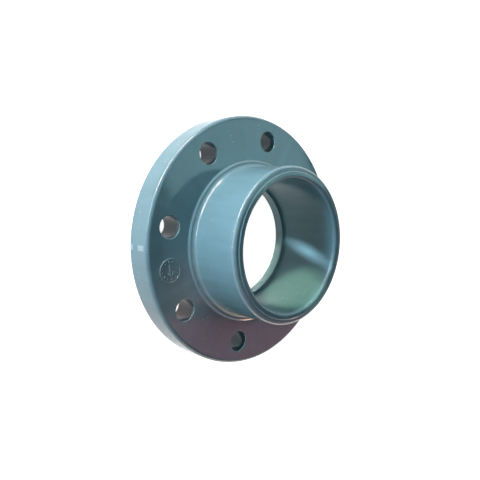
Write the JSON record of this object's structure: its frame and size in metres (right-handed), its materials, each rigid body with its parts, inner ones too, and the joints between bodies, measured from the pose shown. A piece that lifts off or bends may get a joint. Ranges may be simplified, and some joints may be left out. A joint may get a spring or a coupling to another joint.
{
  "type": "pipe flange",
  "caption": "Full-face moulded pipe flange with bolt holes and a solvent-weld socket hub for plastic pressure pipe.",
  "frame": {"origin": "centre of the bore on the flat sealing face, which the flange rests on", "axes": "+Z is the bore's axis, from the sealing face to the socket's mouth; +X and +Y run midway between bolt holes"},
  "size_m": [0.22, 0.22, 0.071],
  "materials": {
    "pvc": "gloss"
  },
  "bodies": {
    "root": {"flange": "pvc"}
  },
  "joints": []
}
